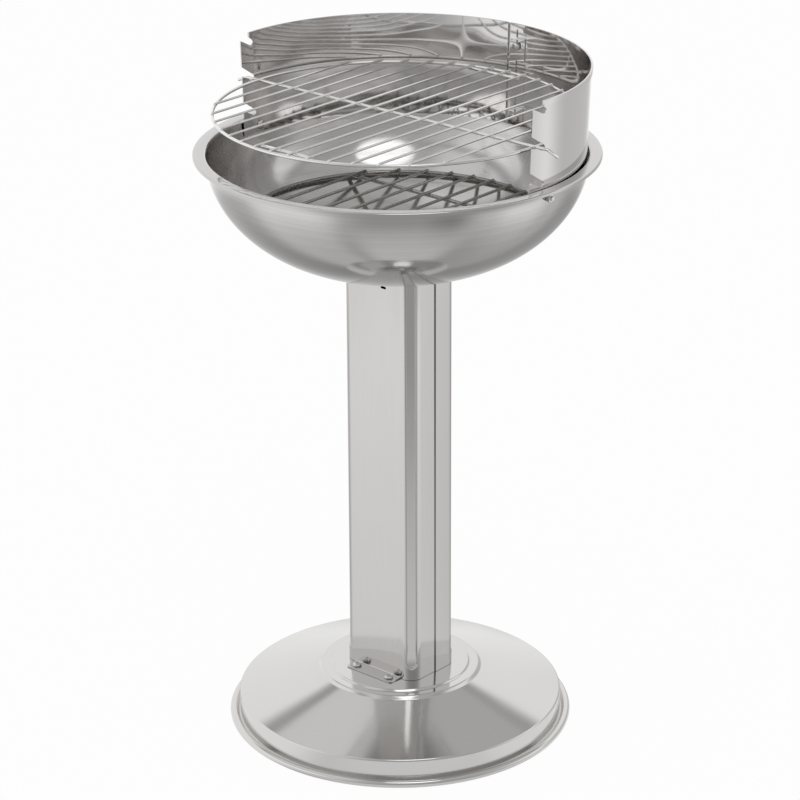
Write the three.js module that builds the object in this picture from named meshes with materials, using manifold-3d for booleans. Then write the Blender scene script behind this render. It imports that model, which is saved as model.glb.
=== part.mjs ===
// Pedestal barbecue: dish foot, fluted sheet column in two halves, fire bowl, windscreen in two
// sheets with slanted slots, welded cooking grate and charcoal grate.
// Millimetres, +Z up. The origin is the centre of the foot on the ground and the front is -Y.

import * as THREE from 'three';
import { mergeVertices } from 'three/addons/utils/BufferGeometryUtils.js';
import Module from 'manifold-3d';

const wasm = await Module();
wasm.setup();

// Sheet metal and fits
const sheetThickness = 1;
const fitGap = 0.3;
const cutOverrun = 4;
const roundSegments = 52;
const holeSides = 8;

// Foot dish
const footRadius = 177.3;
const footBeadRadius = 3.8;
const footFlangeWidth = 6.5;
const footFilletRadius = 2;
const footSkirtHeight = 19.1;
const footShoulderRadius = 2.4;
const footConeRise = 24.3;
const footDiscRadius = 70.8;
const footStepWidth = 1.4;
const footStepDrop = 1.9;
const footBandWidth = 8;
const footBandRise = 3.6;
const footBandEdgeRadius = 2.4;
const beadSteps = 6;
const beadStep = Math.PI / 4;

// Column of two half shells
const columnWidth = 94;
const columnDepth = 70;
const columnHeight = 437.5;
const columnCornerRadius = 14;
const seamPlace = 1;
const seamLap = 12;
const fluteHalfWidth = 7.2;
const fluteFlatHalf = 4;
const fluteDepth = 4.2;
const fluteEndHeight = 18.5;
const fluteWallShares = [0, 0.3, 0.7, 1];
const tabWidth = 61;
const footTabLength = 15.5;
const topTabLength = 15;
const tabCornerRadius = 4;
const tabScrewSpacing = 43;
const columnSlotWidth = 7;
const columnSlotHeight = 2.6;
const columnSlotDrop = 15.5;
const columnSlotPlace = 11;

// Fire bowl
const bowlFlatRadius = 48;
const bowlWallRadius = 187.5;
const bowlDepth = 111.2;
const bowlCurvePower = 1.08;
const bowlCurveShares = [0, 0.2, 0.4, 0.58, 0.74, 0.86, 0.94, 1];
const bowlNeckHeight = 1.4;
const rimBendRadius = 2.3;
const rimFlangeWidth = 10.2;
const rimEdgeHeight = 2.8;

// Windscreen of two bent sheets
const windscreenDip = 13.5;
const windscreenRise = 91.4;
const windscreenFlare = 3.7;
const hemHeight = 5.5;
const hemRounding = 0.7;
const seamLapHalf = 10;
const joggleWidth = 2;
const toothReach = 24;
const topCornerReach = 10;
const slotEndReach = 5;
const slotEndRadius = 3;
const slotFloorRise = 26.4;
const slotRoofRise = 33;
const slotCount = 3;
const slotPitch = 36;
const lowestSlotRise = 5.7;
const tongueWidth = 11;
const tongueLength = 13;
const seatedSlot = 1;

// Cooking grate
const ringWireRadius = 1.6;
const barWireRadius = 1.2;
const grateRingRadius = 177;
const grateRingSetback = 3.5;
const barCount = 15;
const barPitch = 20.9;
const barSink = 0.7;
const barOverhang = 1;
const shortWireInset = 12;
const shortWireBars = [-1, 2];
const wireEndClear = 6;
const wireEndLength = 13.6;
const wireEndDrop = 23;

// Charcoal grate
const coalWireRadius = 2;
const coalBarRadius = 1.6;
const coalGrateShare = 0.565;
const coalBarCount = 11;
const coalBarPitch = 24;
const coalCrossPlaceShares = [-0.5, 0.5];

// Screws and nuts
const screwRadius = 2.4;
const screwHeadRadius = 4.6;
const screwHeadHeight = 3;
const headEdgeShare = 0.45;
const headCrownShare = 0.72;
const nutAcrossCorners = 9.2;
const nutHeight = 3.6;
const screwTail = 1.6;
const boltRise = 7.5;
const seamScrewDrop = 22.4;

// Heights, worked out from the ground up
const footFlangeTop = 2 * footBeadRadius;
const footShoulderTop = footFlangeTop + footSkirtHeight;
const footConeTop = footShoulderTop + footConeRise;
const footBandTop = footConeTop + footBandRise;
const footTop = footBandTop + footStepDrop;
const columnFoot = footTop + fitGap;
const columnTop = columnFoot + columnHeight;
const bowlBottom = columnTop + fitGap;
const bowlCurveTop = bowlBottom + bowlDepth;
const rimUnder = bowlCurveTop + bowlNeckHeight + rimBendRadius;
const rimTop = rimUnder + sheetThickness;
const rimRadius = bowlWallRadius + rimBendRadius + rimFlangeWidth;
const windscreenFoot = bowlCurveTop - windscreenDip;
const windscreenTop = windscreenFoot + windscreenDip + windscreenRise;
const boltHeight = windscreenFoot + boltRise;
const seamScrewHeight = windscreenTop - seamScrewDrop;
const lowestSlot = bowlCurveTop + lowestSlotRise;
const seatedWireHeight = lowestSlot + seatedSlot * slotPitch + fitGap + ringWireRadius;
const slotCentrePlace = slotEndReach + slotEndRadius;

const metals = {
  satin: { color: 0xbdbcba, roughness: 0.34, metalness: 1 },
  polished: { color: 0xc9c8c6, roughness: 0.12, metalness: 1 },
  plated: { color: 0xd4d4d4, roughness: 0.18, metalness: 1 },
  fastener: { color: 0xb4b4b2, roughness: 0.25, metalness: 1 },
};
const axisZ = new THREE.Vector3(0, 0, 1);

// Every closed geometry becomes a solid with merged corners and outward faces.
function solidOf(geometry) {
  const bare = geometry.clone();
  bare.deleteAttribute('normal');
  bare.deleteAttribute('uv');
  const merged = mergeVertices(bare);
  const position = merged.attributes.position;
  const corners = [];
  let volume = 0;
  const a = new THREE.Vector3();
  const b = new THREE.Vector3();
  const c = new THREE.Vector3();
  for (let i = 0; i < merged.index.count; i += 3) {
    const triangle = [merged.index.getX(i), merged.index.getX(i + 1), merged.index.getX(i + 2)];
    if (new Set(triangle).size < triangle.length) continue;
    corners.push(triangle);
    a.fromBufferAttribute(position, triangle[0]);
    b.fromBufferAttribute(position, triangle[1]);
    c.fromBufferAttribute(position, triangle[2]);
    volume += a.dot(b.cross(c));
  }
  const triVerts = Uint32Array.from(corners.flatMap((t) => (volume < 0 ? [t[0], t[2], t[1]] : t)));
  const vertProperties = Float32Array.from(position.array);
  return new wasm.Manifold(new wasm.Mesh({ numProp: 3, vertProperties, triVerts }));
}

function geometryOf(solid) {
  const mesh = solid.getMesh();
  const geometry = new THREE.BufferGeometry();
  geometry.setAttribute('position', new THREE.BufferAttribute(mesh.vertProperties, mesh.numProp));
  geometry.setIndex(new THREE.BufferAttribute(mesh.triVerts, 1));
  geometry.computeVertexNormals();
  return geometry;
}

function piece(name, solid, metal) {
  const material = new THREE.MeshStandardMaterial({ ...metals[metal], flatShading: true });
  const mesh = new THREE.Mesh(geometryOf(solid), material);
  mesh.name = name;
  return mesh;
}

// An open path of sheet gets its thickness on its left side, with mitred bends.
function thicken(path, thickness) {
  const sides = path.slice(1).map((point, i) => {
    const along = point.clone().sub(path[i]).normalize();
    return new THREE.Vector2(-along.y, along.x);
  });
  const offset = path.map((point, i) => {
    const before = sides[Math.max(i - 1, 0)];
    const after = sides[Math.min(i, sides.length - 1)];
    const mitre = before.clone().add(after).normalize();
    return point.clone().addScaledVector(mitre, thickness / mitre.dot(before));
  });
  return { offset, outline: [...path, ...offset.slice().reverse()] };
}

function arcPoints(centre, radius, from, to, steps) {
  return Array.from({ length: steps + 1 }, (_, i) => {
    const angle = from + ((to - from) * i) / steps;
    return new THREE.Vector2(centre.x + radius * Math.cos(angle), centre.y + radius * Math.sin(angle));
  });
}

// A closed outline of radius and height turned about the Z axis.
function revolve(outline, segments = roundSegments) {
  const geometry = new THREE.LatheGeometry([...outline, outline[0]], segments);
  return solidOf(geometry.rotateX(Math.PI / 2));
}

function prism(shape, bottom, top) {
  const geometry = new THREE.ExtrudeGeometry(shape, { depth: top - bottom, bevelEnabled: false });
  return solidOf(geometry.translate(0, 0, bottom));
}

function rod(from, to, radius, sides = 8) {
  const along = to.clone().sub(from);
  const geometry = new THREE.CylinderGeometry(radius, radius, along.length(), sides);
  geometry.rotateY(Math.PI / sides).rotateX(Math.PI / 2);
  geometry.applyQuaternion(new THREE.Quaternion().setFromUnitVectors(axisZ, along.normalize()));
  const middle = from.clone().add(to).multiplyScalar(0.5);
  return solidOf(geometry.translate(middle.x, middle.y, middle.z));
}

function block(from, to) {
  const size = to.clone().sub(from);
  const middle = from.clone().add(to).multiplyScalar(0.5);
  const geometry = new THREE.BoxGeometry(Math.abs(size.x), Math.abs(size.y), Math.abs(size.z));
  return solidOf(geometry.translate(middle.x, middle.y, middle.z));
}

// A hole's corner radius, so that its flats clear the screw.
const holeRadius = (sides) => (screwRadius + fitGap) / Math.cos(Math.PI / sides);

const joined = (solids) => solids.reduce((whole, solid) => whole.add(solid));
const cutBy = (solid, cutters) => cutters.reduce((left, cutter) => left.subtract(cutter), solid);

function radiusAt(profile, height) {
  const i = profile.findIndex((point, k) => k > 0 && point.y >= height && profile[k - 1].y < height);
  const low = profile[i - 1];
  const high = profile[i];
  return low.x + ((high.x - low.x) * (height - low.y)) / (high.y - low.y);
}

// The four places of the screws through the column's tabs.
function tabScrewPlaces(reach) {
  const across = tabScrewSpacing / 2;
  return [
    new THREE.Vector2(-across, -reach),
    new THREE.Vector2(across, -reach),
    new THREE.Vector2(across, reach),
    new THREE.Vector2(-across, reach),
  ];
}
const footScrewPlaces = tabScrewPlaces((columnDepth + footTabLength) / 2);
const topScrewPlaces = tabScrewPlaces((columnDepth - topTabLength) / 2);

function uprightHoles(places, bottom, top) {
  return places.map((place) =>
    rod(
      new THREE.Vector3(place.x, place.y, bottom - cutOverrun),
      new THREE.Vector3(place.x, place.y, top + cutOverrun),
      holeRadius(holeSides),
      holeSides,
    ),
  );
}

// Foot: disc, step, band, cone, shoulder, skirt, flange and rolled rim in one pressed sheet.
function footPath() {
  const skirtRadius = footRadius - footBeadRadius - footFlangeWidth;
  const bandStart = footDiscRadius + footStepWidth;
  const bandEnd = bandStart + footBandWidth;
  const shoulder = new THREE.Vector2(skirtRadius - footShoulderRadius, footShoulderTop - footShoulderRadius);
  const fillet = new THREE.Vector2(skirtRadius + footFilletRadius, footFlangeTop + footFilletRadius);
  const bandCorner = new THREE.Vector2(bandEnd, footBandTop - footBandEdgeRadius);
  const bead = new THREE.Vector2(footRadius - footBeadRadius, footBeadRadius);
  const beadStart = (1.5 * Math.PI) / 4;
  return [
    new THREE.Vector2(0, footTop),
    new THREE.Vector2(footDiscRadius, footTop),
    new THREE.Vector2(bandStart, footBandTop),
    ...arcPoints(bandCorner, footBandEdgeRadius, Math.PI / 2, Math.PI / 5, 1),
    new THREE.Vector2(bandEnd + footBandRise, footConeTop),
    ...arcPoints(shoulder, footShoulderRadius, Math.PI / 2, 0, 2),
    ...arcPoints(fillet, footFilletRadius, Math.PI, 1.5 * Math.PI, 1),
    ...arcPoints(bead, footBeadRadius / Math.cos(beadStep / 2), beadStart, beadStart - beadSteps * beadStep, beadSteps),
  ];
}

function baseDish() {
  const dish = revolve(thicken(footPath().reverse(), sheetThickness).outline);
  return piece('base_dish', cutBy(dish, uprightHoles(footScrewPlaces, footTop, footTop)), 'polished');
}

// Half shell in plan, from one side wall round both corners to the other. Each corner is pressed in
// to a flute with a flat floor, S-shaped walls and a round end near the foot.
const flutePlaces = fluteWallShares.map((share) => fluteFlatHalf + share * (fluteHalfWidth - fluteFlatHalf));

function fluteDepthAt(place) {
  const share = THREE.MathUtils.clamp((place - fluteFlatHalf) / (fluteHalfWidth - fluteFlatHalf), 0, 1);
  return (fluteDepth * (1 + Math.cos(Math.PI * share))) / 2;
}

function shellPlan(halfWidth, wallEnd, height) {
  const cornerX = halfWidth - columnCornerRadius;
  const cornerY = -(columnDepth / 2 - columnCornerRadius);
  const cornerEnd = (columnCornerRadius * Math.PI) / 4;
  const below = Math.max(0, columnFoot + fluteEndHeight - height);
  const half = [...flutePlaces, cornerEnd];
  const corner = [...half.toReversed().map((place) => -place), 0, ...half];
  const at = (side) => (across) => {
    const turn = Math.PI / 4 + across / columnCornerRadius;
    const out = columnCornerRadius - fluteDepthAt(Math.hypot(across, below));
    return new THREE.Vector2(side * (cornerX + out * Math.cos(turn)), cornerY - out * Math.sin(turn));
  };
  return [
    new THREE.Vector2(halfWidth, wallEnd),
    ...corner.map(at(1)),
    ...corner.toReversed().map(at(-1)),
    new THREE.Vector2(-halfWidth, wallEnd),
  ];
}

function shellWall(halfWidth, wallEnd) {
  const levels = [
    columnFoot,
    ...flutePlaces.toReversed().map((place) => columnFoot + fluteEndHeight - place),
    columnFoot + fluteEndHeight,
    columnTop,
  ];
  const rows = levels.map((height) => {
    const { outline } = thicken(shellPlan(halfWidth, wallEnd, height), -sheetThickness);
    return outline.map((point) => new THREE.Vector3(point.x, point.y, height));
  });
  const count = rows[0].length;
  const faces = [];
  const quad = (a, b, c, d) => faces.push(a, b, c, a, c, d);
  for (let row = 0; row + 1 < rows.length; row += 1) {
    for (let i = 0; i < count; i += 1) {
      const next = (i + 1) % count;
      quad(row * count + i, row * count + next, (row + 1) * count + next, (row + 1) * count + i);
    }
  }
  const last = (rows.length - 1) * count;
  for (let i = 0; i + 1 < count / 2; i += 1) {
    quad(i, count - 1 - i, count - 2 - i, i + 1);
    quad(last + i, last + i + 1, last + count - 2 - i, last + count - 1 - i);
  }
  const geometry = new THREE.BufferGeometry().setFromPoints(rows.flat());
  geometry.setIndex(faces);
  return solidOf(geometry);
}

// A tab bent off the wide wall, towards the front for the foot and inwards for the top.
function tabPlate(length, direction, level) {
  const root = -columnDepth / 2;
  const start = direction < 0 ? root + sheetThickness : root;
  const end = root + direction * length;
  const half = tabWidth / 2;
  const shape = new THREE.Shape();
  shape.moveTo(-half, start);
  shape.lineTo(-half, end - direction * tabCornerRadius);
  shape.quadraticCurveTo(-half, end, -half + tabCornerRadius, end);
  shape.lineTo(half - tabCornerRadius, end);
  shape.quadraticCurveTo(half, end, half, end - direction * tabCornerRadius);
  shape.lineTo(half, start);
  const geometry = new THREE.ExtrudeGeometry(shape, {
    depth: sheetThickness,
    bevelEnabled: false,
    curveSegments: 3,
  });
  return solidOf(geometry.translate(0, 0, level));
}

function halfShell(halfWidth, wallEnd) {
  return cutBy(
    joined([
      shellWall(halfWidth, wallEnd),
      tabPlate(footTabLength, -1, columnFoot),
      tabPlate(topTabLength, 1, columnTop - sheetThickness),
    ]),
    [
      ...uprightHoles(footScrewPlaces.slice(0, 2), columnFoot, columnFoot),
      ...uprightHoles(topScrewPlaces.slice(0, 2), columnTop, columnTop),
    ],
  );
}

function column() {
  const slot = block(
    new THREE.Vector3(
      columnSlotPlace - columnSlotWidth / 2,
      -columnDepth / 2 - cutOverrun,
      columnTop - columnSlotDrop - columnSlotHeight / 2,
    ),
    new THREE.Vector3(
      columnSlotPlace + columnSlotWidth / 2,
      -columnDepth / 2 + cutOverrun,
      columnTop - columnSlotDrop + columnSlotHeight / 2,
    ),
  );
  const front = halfShell(columnWidth / 2, seamPlace + seamLap).subtract(slot);
  const rear = halfShell(columnWidth / 2 + sheetThickness + fitGap, -seamPlace);
  const rearMesh = piece('column_rear_shell', rear, 'satin');
  rearMesh.rotation.z = Math.PI;
  return [piece('column_front_shell', front, 'satin'), rearMesh];
}

// Bowl: flat bottom, power curve wall, neck, flat rim flange and turned edge.
function bowlPath() {
  const curve = bowlCurveShares.map((share) => {
    const turn = (share * Math.PI) / 2;
    const out = Math.sin(turn) ** bowlCurvePower;
    const down = Math.max(0, Math.cos(turn)) ** bowlCurvePower;
    return new THREE.Vector2(
      bowlFlatRadius + (bowlWallRadius - bowlFlatRadius) * out,
      bowlCurveTop - bowlDepth * down,
    );
  });
  const bend = new THREE.Vector2(bowlWallRadius + rimBendRadius, bowlCurveTop + bowlNeckHeight);
  const edgeRadius = rimRadius - sheetThickness;
  return [
    new THREE.Vector2(0, bowlBottom),
    ...curve,
    ...arcPoints(bend, rimBendRadius, Math.PI, Math.PI / 2, 2),
    new THREE.Vector2(edgeRadius, rimUnder),
    new THREE.Vector2(edgeRadius, rimTop - rimEdgeHeight),
  ];
}
const bowlSheet = thicken(bowlPath(), sheetThickness);

// The windscreen follows the bowl's wall at its foot and leans out to its top.
const windscreenFootRadius = radiusAt(bowlSheet.offset, windscreenFoot) - fitGap;
const windscreenHeight = windscreenTop - windscreenFoot;
const windscreenRadius = (height) =>
  windscreenFootRadius + (windscreenFlare * (height - windscreenFoot)) / windscreenHeight;
const joggleDepth = sheetThickness + fitGap;

function radialRod(azimuth, height, from, to, radius, sides) {
  const out = new THREE.Vector3(Math.cos(azimuth), Math.sin(azimuth), 0);
  const start = out.clone().multiplyScalar(from).setZ(height);
  return rod(start, out.clone().multiplyScalar(to).setZ(height), radius, sides);
}

const windscreenScrews = [
  { name: 'right', azimuth: 0, height: boltHeight, inset: 0, nutSeat: bowlWallRadius },
  { name: 'left', azimuth: Math.PI, height: boltHeight, inset: 0, nutSeat: bowlWallRadius },
  { name: 'back', azimuth: Math.PI / 2, height: boltHeight, inset: joggleDepth, nutSeat: bowlWallRadius },
];
const seamScrew = {
  azimuth: Math.PI / 2,
  height: seamScrewHeight,
  inset: joggleDepth,
  nutSeat: windscreenRadius(seamScrewHeight + nutAcrossCorners / 2),
};

function radialHoles(screws) {
  return screws.map(({ azimuth, height }) =>
    radialRod(azimuth, height, windscreenFootRadius / 2, rimRadius, holeRadius(holeSides), holeSides),
  );
}

function bowl() {
  const holes = [...uprightHoles(topScrewPlaces, bowlBottom, bowlBottom), ...radialHoles(windscreenScrews)];
  return piece('bowl', cutBy(revolve(bowlSheet.outline), holes), 'satin');
}

// One full ring of windscreen sheet, drawn in by inset, with its top edge hemmed to the outside.
function windscreenRing(inset = 0, thickness = sheetThickness) {
  const foot = windscreenFootRadius - inset;
  const top = windscreenRadius(windscreenTop) - inset;
  return revolve([
    new THREE.Vector2(foot - thickness, windscreenFoot),
    new THREE.Vector2(foot, windscreenFoot),
    ...(inset > 0 ? [new THREE.Vector2(top, windscreenTop)] : hemOutline(top)),
    new THREE.Vector2(top - thickness, windscreenTop - hemRounding),
  ]);
}

function hemOutline(top) {
  const hemFoot = windscreenRadius(windscreenTop - hemHeight);
  return [
    new THREE.Vector2(hemFoot, windscreenTop - hemHeight),
    new THREE.Vector2(hemFoot + sheetThickness, windscreenTop - hemHeight),
    new THREE.Vector2(top + sheetThickness, windscreenTop - hemRounding),
    new THREE.Vector2(top + sheetThickness - hemRounding, windscreenTop),
    new THREE.Vector2(top - sheetThickness + hemRounding, windscreenTop),
  ];
}

function slotCutter(centreHeight) {
  const floorRise = THREE.MathUtils.degToRad(slotFloorRise);
  const roofRise = THREE.MathUtils.degToRad(slotRoofRise);
  const centre = new THREE.Vector2(-slotCentrePlace, centreHeight);
  const run = toothReach + cutOverrun - slotCentrePlace;
  const end = arcPoints(centre, slotEndRadius, -Math.PI / 2 - floorRise, Math.PI / 2 - roofRise, 6);
  const floorMouth = end[0].clone().add(new THREE.Vector2(-run, run * Math.tan(floorRise)));
  const roofMouth = end.at(-1).clone().add(new THREE.Vector2(-run, run * Math.tan(roofRise)));
  return [floorMouth, ...end, roofMouth];
}

// What is cut off the open end of a sheet, drawn in the plane of Y and Z and cut along X.
function endCutters() {
  const high = windscreenTop + cutOverrun;
  const slots = Array.from({ length: slotCount }, (_, i) =>
    slotCutter(lowestSlot + slotEndRadius + i * slotPitch),
  );
  const topSlotFloor = lowestSlot + (slotCount - 1) * slotPitch + slotEndRadius;
  const corner = [
    new THREE.Vector2(-toothReach - cutOverrun, high),
    new THREE.Vector2(-topCornerReach, high),
    new THREE.Vector2(-topCornerReach, topSlotFloor),
    new THREE.Vector2(-toothReach - cutOverrun, topSlotFloor + (toothReach + cutOverrun - topCornerReach) / 2),
  ];
  const reach = rimRadius + cutOverrun;
  return [...slots, corner].map((outline) => {
    const geometry = new THREE.ExtrudeGeometry(new THREE.Shape(outline), { depth: reach, bevelEnabled: false });
    return solidOf(geometry.rotateX(Math.PI / 2).rotateZ(Math.PI / 2));
  });
}

// The part of a ring between two planes: from the line y = low to the line x = near.
function sheetPart(ring, near, low) {
  const reach = rimRadius + cutOverrun;
  return ring.intersect(
    block(new THREE.Vector3(near, low, windscreenFoot - cutOverrun), new THREE.Vector3(reach, reach, windscreenTop + cutOverrun)),
  );
}

function windscreenRight() {
  const sheet = sheetPart(windscreenRing(), -seamLapHalf, -toothReach);
  return cutBy(sheet, [...endCutters(), ...radialHoles([...windscreenScrews, seamScrew])]);
}

// The left sheet is drawn on the right side, with its lapping end set in behind a joggle and
// notched three times, each notch's flap bent in as a tongue. It is then mirrored.
function windscreenLeft() {
  const joggle = seamLapHalf + fitGap;
  const reach = rimRadius + cutOverrun;
  const main = sheetPart(windscreenRing(), joggle, -toothReach);
  const lap = sheetPart(windscreenRing(joggleDepth), -seamLapHalf, 0).intersect(
    block(
      new THREE.Vector3(-seamLapHalf, 0, windscreenFoot - cutOverrun),
      new THREE.Vector3(joggle + joggleWidth, reach, windscreenTop + cutOverrun),
    ),
  );
  const web = windscreenRing(0, sheetThickness + joggleDepth).intersect(
    block(
      new THREE.Vector3(joggle, 0, windscreenFoot - cutOverrun),
      new THREE.Vector3(joggle + joggleWidth, reach, windscreenTop + cutOverrun),
    ),
  );
  const flapEdge = tongueWidth - seamLapHalf;
  const tongues = [];
  const notches = [];
  for (let i = 0; i < slotCount; i += 1) {
    const top = seatedWireHeight - ringWireRadius - fitGap + (i - seatedSlot) * slotPitch;
    const inner = windscreenRadius(top) - joggleDepth - sheetThickness;
    tongues.push(
      block(
        new THREE.Vector3(-seamLapHalf, inner - tongueLength, top - sheetThickness),
        new THREE.Vector3(flapEdge, inner + sheetThickness / 2, top),
      ),
    );
    notches.push(
      block(
        new THREE.Vector3(-seamLapHalf - cutOverrun, inner - tongueLength, top),
        new THREE.Vector3(flapEdge, reach, Math.min(top + tongueLength, windscreenTop - hemHeight)),
      ),
    );
  }
  const sheet = cutBy(joined([main, web, lap]), [
    ...notches,
    ...endCutters(),
    ...radialHoles([...windscreenScrews, seamScrew]),
  ]);
  return joined([sheet, ...tongues]).mirror([1, 0, 0]);
}

// A ring of round wire about the Z axis.
function wireRing(radius, height, wireRadius, segments) {
  const sides = 6;
  const outline = arcPoints(new THREE.Vector2(radius, height), wireRadius, 0, 2 * Math.PI, sides);
  return revolve(outline.slice(0, sides), segments);
}

function barHalfLength(ringRadius, place) {
  return Math.sqrt(ringRadius ** 2 - place ** 2);
}

// Cooking grate, drawn about its ring's centre and then set forward to its place.
function cookingGrate() {
  const level = seatedWireHeight;
  const barLevel = level + ringWireRadius + barWireRadius - barSink;
  const wireRow = grateRingSetback - slotCentrePlace;
  const places = Array.from({ length: barCount }, (_, i) => (i - (barCount - 1) / 2) * barPitch);
  const bars = places.map((x) => {
    const half = barHalfLength(grateRingRadius, x) + barOverhang;
    return rod(new THREE.Vector3(x, -half, barLevel), new THREE.Vector3(x, half, barLevel), barWireRadius, 6);
  });
  const bend = windscreenRadius(level) + wireEndClear;
  const drop = THREE.MathUtils.degToRad(wireEndDrop);
  const corners = [
    new THREE.Vector3(-bend - wireEndLength * Math.cos(drop), wireRow, level - wireEndLength * Math.sin(drop)),
    new THREE.Vector3(-bend, wireRow, level),
    new THREE.Vector3(bend, wireRow, level),
    new THREE.Vector3(bend + wireEndLength * Math.cos(drop), wireRow, level - wireEndLength * Math.sin(drop)),
  ];
  const middleWire = corners.slice(1).flatMap((corner, i) => {
    const length = rod(corners[i], corner, ringWireRadius);
    const knuckle = new THREE.SphereGeometry(ringWireRadius, 8, 6).translate(corner.x, corner.y, corner.z);
    return i + 2 < corners.length ? [length, solidOf(knuckle)] : [length];
  });
  const shortRow = grateRingRadius - shortWireInset;
  const shortWires = [-1, 1].map((side) => {
    const ends = shortWireBars.map((bar) => -side * bar * barPitch);
    const from = Math.min(...ends) - ringWireRadius;
    const to = Math.max(...ends) + ringWireRadius;
    return rod(
      new THREE.Vector3(from, side * shortRow, level),
      new THREE.Vector3(to, side * shortRow, level),
      ringWireRadius,
    );
  });
  const grate = joined([wireRing(grateRingRadius, level, ringWireRadius, 48), ...bars, ...middleWire, ...shortWires]);
  const mesh = piece('cooking_grate', grate, 'plated');
  mesh.position.y = -grateRingSetback;
  return mesh;
}

// Charcoal grate: its ring lies against the bowl's wall at a chosen share of the curve.
function charcoalGrate() {
  const turn = (coalGrateShare * Math.PI) / 2;
  const level = bowlCurveTop - bowlDepth * Math.cos(turn) ** bowlCurvePower;
  const lift = coalWireRadius + fitGap;
  const ringRadius = radiusAt(bowlSheet.offset, level) - lift;
  const slope = (radiusAt(bowlSheet.offset, level + lift) - radiusAt(bowlSheet.offset, level)) / lift;
  const ringLevel = level + (Math.hypot(1, slope) - 1) * (lift / slope);
  const barLevel = ringLevel + coalWireRadius + coalBarRadius - barSink;
  const places = Array.from({ length: coalBarCount }, (_, i) => (i - (coalBarCount - 1) / 2) * coalBarPitch);
  const bars = places.map((x) => {
    const half = barHalfLength(ringRadius, x);
    return rod(new THREE.Vector3(x, -half, barLevel), new THREE.Vector3(x, half, barLevel), coalBarRadius, 6);
  });
  const crossWires = coalCrossPlaceShares.map((share) => {
    const y = share * ringRadius;
    const half = barHalfLength(ringRadius, y);
    return rod(new THREE.Vector3(-half, y, ringLevel), new THREE.Vector3(half, y, ringLevel), coalWireRadius);
  });
  const ring = wireRing(ringRadius, ringLevel, coalWireRadius, 40);
  return piece('charcoal_grate', joined([ring, ...bars, ...crossWires]), 'plated');
}

// Screw and nut about their own axis: the head stands above the seat plane z = 0.
function screwSolid(shank) {
  return revolve(
    [
      new THREE.Vector2(0, -shank),
      new THREE.Vector2(screwRadius, -shank),
      new THREE.Vector2(screwRadius, 0),
      new THREE.Vector2(screwHeadRadius, 0),
      new THREE.Vector2(screwHeadRadius, screwHeadHeight * headEdgeShare),
      new THREE.Vector2(screwHeadRadius * headCrownShare, screwHeadHeight * headCrownShare),
      new THREE.Vector2(0, screwHeadHeight),
    ],
    8,
  );
}

function nutSolid() {
  const hexagon = (radius) => arcPoints(new THREE.Vector2(), radius, 0, 2 * Math.PI, 6).slice(1);
  const shape = new THREE.Shape(hexagon(nutAcrossCorners / 2));
  shape.holes.push(new THREE.Path(hexagon(holeRadius(6))));
  return prism(shape, -nutHeight, 0);
}

// A screw with its nut: seat is where the head rests, out points from the nut to the head.
function fastener(screwName, nutName, seat, out, grip) {
  const screw = piece(screwName, screwSolid(grip + nutHeight + screwTail), 'fastener');
  const nut = piece(nutName, nutSolid(), 'fastener');
  const turn = new THREE.Quaternion().setFromUnitVectors(axisZ, out);
  screw.position.copy(seat);
  nut.position.copy(seat).addScaledVector(out, -grip);
  screw.quaternion.copy(turn);
  nut.quaternion.copy(turn);
  return [screw, nut];
}

function uprightFasteners(stem, places, headSeat, nutSeat) {
  return places.flatMap((place, i) =>
    fastener(
      `${stem}_screw_${i + 1}`,
      `${stem}_nut_${i + 1}`,
      new THREE.Vector3(place.x, place.y, headSeat + fitGap),
      axisZ,
      headSeat + fitGap - (nutSeat - fitGap),
    ),
  );
}

function radialFastener(screwName, nutName, { azimuth, height, inset, nutSeat }) {
  const inner = windscreenRadius(height - screwHeadRadius) - sheetThickness - inset - fitGap;
  const outward = new THREE.Vector3(Math.cos(azimuth), Math.sin(azimuth), 0);
  const seat = outward.clone().multiplyScalar(inner).setZ(height);
  return fastener(screwName, nutName, seat, outward.clone().negate(), nutSeat + fitGap - inner);
}

const root = new THREE.Group();
root.add(
  baseDish(),
  ...column(),
  bowl(),
  piece('windscreen_left', windscreenLeft(), 'polished'),
  piece('windscreen_right', windscreenRight(), 'polished'),
  cookingGrate(),
  charcoalGrate(),
  ...uprightFasteners('base', footScrewPlaces, columnFoot + sheetThickness, footTop - sheetThickness),
  ...uprightFasteners('bowl', topScrewPlaces, bowlBottom + sheetThickness, columnTop - sheetThickness),
  ...windscreenScrews.flatMap((screw) =>
    radialFastener(`windscreen_screw_${screw.name}`, `windscreen_nut_${screw.name}`, screw),
  ),
  ...radialFastener('seam_screw', 'seam_nut', seamScrew),
);

export default root;
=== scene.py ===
import math

import bmesh
import bpy
from mathutils import Matrix, Vector


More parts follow.
